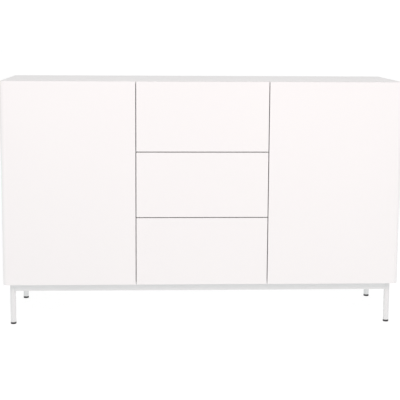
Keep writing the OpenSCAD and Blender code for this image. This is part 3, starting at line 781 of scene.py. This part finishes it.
def make_welds():
    """A bead round both rails at each leg, and one where the leg meets its corner plate."""
    curve = bpy.data.curves.new("weld_beads", "CURVE")
    curve.dimensions = "3D"
    curve.bevel_depth = WELD_R
    curve.bevel_resolution = 3
    rail_low, rail_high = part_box("front_rail")
    half_w = (rail_high.y - rail_low.y) / 2
    for name in ("front_left_leg", "front_right_leg", "back_left_leg", "back_right_leg"):
        low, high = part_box(name)
        centre = (low + high) / 2
        leg_r = (high.x - low.x) / 2
        top_z = rail_high.z - WELD_R / 2
        to_middle_x = 0 if centre.x < 0 else math.pi
        to_middle_y = math.pi / 2 if centre.y < 0 else -math.pi / 2
        for heading in (to_middle_x, to_middle_y):
            weld_bead(curve, rail_end_loop(centre, heading, leg_r, half_w, rail_low.z, top_z))
        reach = leg_r - WELD_R / 2
        turns = [2 * math.pi * step / RING_STEPS for step in range(RING_STEPS)]
        ring = [(reach * math.cos(turn), reach * math.sin(turn)) for turn in turns]
        weld_bead(curve, [(centre.x + x, centre.y + y, top_z) for x, y in ring])
    curve.materials.append(ENAMEL)
    piece = bpy.data.objects.new("weld_beads", curve)
    bpy.context.scene.collection.objects.link(piece)
    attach(piece, "root")


make_welds()

# ---- Stage, light and camera ----

FLOOR_HALF = 40.0
FLOOR_COLOUR = (0.35, 0.35, 0.35, 1)
FLOOR_GLOW = 0.745

ROOM_COLOUR = (0.992, 1.0, 1.0, 1)
ROOM_LIGHT = 0.871
ROOM_SIDE_FALL = 0.26  # how much less light comes from straight to the side
ROOM_TOP_FALL = 0.065  # how much less comes from overhead
ROOM_SEEN_LIFT = 0.4  # added where the camera sees the room itself

SOFT_BOX_PLACE = Vector((0.3, -2.6, 2.5))
SOFT_BOX_TARGET = Vector((0, -0.2, 0.62))
SOFT_BOX_SIZE = (2.4, 1.2)
SOFT_BOX_WATTS = 32.5
SOFT_BOX_COLOUR = (1, 0.8, 0.785)

CAMERA_PLACE = (-0.153, -3.552, 1.054)
CAMERA_YAW, CAMERA_PITCH, CAMERA_ROLL = 2.46, 7.36, 0.34  # degrees: to the right, down, and anticlockwise
CAMERA_LENS = 87.5
CAMERA_SENSOR = 36
CAMERA_SHIFT = -0.12


def floor():
    """A wide pale floor: mostly its own light, so that only a breath of shade gathers under the cabinet."""
    corners = [(x * FLOOR_HALF, y * FLOOR_HALF, 0) for x, y in ((-1, -1), (1, -1), (1, 1), (-1, 1))]
    mesh = bpy.data.meshes.new("floor")
    mesh.from_pydata(corners, [], [(0, 1, 2, 3)])
    plane = bpy.data.objects.new("floor", mesh)
    bpy.context.scene.collection.objects.link(plane)
    material, shader = new_material("pale_floor")
    shader.inputs["Base Color"].default_value = FLOOR_COLOUR
    shader.inputs["Roughness"].default_value = 0.9
    shader.inputs["Specular IOR Level"].default_value = 0.0
    shader.inputs["Emission Color"].default_value = (1, 1, 1, 1)
    shader.inputs["Emission Strength"].default_value = FLOOR_GLOW
    mesh.materials.append(material)


def studio_world():
    """Light from a white room, a little darker overhead and at the sides. The room itself shows as white."""
    world = bpy.data.worlds.new("studio")
    world.use_nodes = True
    direction = add_node(world, "ShaderNodeTexCoord").outputs["Generated"]
    squares = add_node(world, "ShaderNodeVectorMath", operation="MULTIPLY")
    link(world, direction, squares.inputs[0])
    link(world, direction, squares.inputs[1])
    fall = add_node(world, "ShaderNodeVectorMath", operation="DOT_PRODUCT")
    link(world, squares.outputs["Vector"], fall.inputs[0])
    fall.inputs[1].default_value = (ROOM_SIDE_FALL, 0, ROOM_TOP_FALL)
    level = add_node(world, "ShaderNodeMath", operation="SUBTRACT")
    level.inputs[0].default_value = ROOM_LIGHT
    link(world, fall.outputs["Value"], level.inputs[1])
    path = add_node(world, "ShaderNodeLightPath")
    seen = add_node(world, "ShaderNodeMath", operation="MULTIPLY_ADD")
    link(world, path.outputs["Is Camera Ray"], seen.inputs[0])
    seen.inputs[1].default_value = ROOM_SEEN_LIFT
    link(world, level.outputs["Value"], seen.inputs[2])
    background = world.node_tree.nodes["Background"]
    background.inputs["Color"].default_value = ROOM_COLOUR
    link(world, seen.outputs["Value"], background.inputs["Strength"])
    bpy.context.scene.world = world


def front_soft_box():
    """One large soft light, above and in front of the cabinet."""
    data = bpy.data.lights.new("front_soft_box", "AREA")
    data.shape = "RECTANGLE"
    data.size, data.size_y = SOFT_BOX_SIZE
    data.energy = SOFT_BOX_WATTS
    data.color = SOFT_BOX_COLOUR
    lamp = bpy.data.objects.new("front_soft_box", data)
    bpy.context.scene.collection.objects.link(lamp)
    lamp.location = SOFT_BOX_PLACE
    lamp.rotation_euler = (SOFT_BOX_TARGET - SOFT_BOX_PLACE).to_track_quat("-Z", "Y").to_euler()


def camera():
    """Above the cabinet's height, a little left of its middle, looking slightly down and to the right."""
    data = bpy.data.cameras.new("camera")
    data.lens = CAMERA_LENS
    data.sensor_width = CAMERA_SENSOR
    data.shift_y = CAMERA_SHIFT
    eye = bpy.data.objects.new("camera", data)
    bpy.context.scene.collection.objects.link(eye)
    heading = Matrix.Rotation(math.radians(-CAMERA_YAW), 4, "Z")
    tilt = Matrix.Rotation(math.radians(90 - CAMERA_PITCH), 4, "X")
    roll = Matrix.Rotation(math.radians(CAMERA_ROLL), 4, "Z")
    eye.matrix_world = Matrix.Translation(CAMERA_PLACE) @ heading @ tilt @ roll
    bpy.context.scene.camera = eye


floor()
studio_world()
front_soft_box()
camera()
bpy.context.scene.view_settings.view_transform = "Standard"
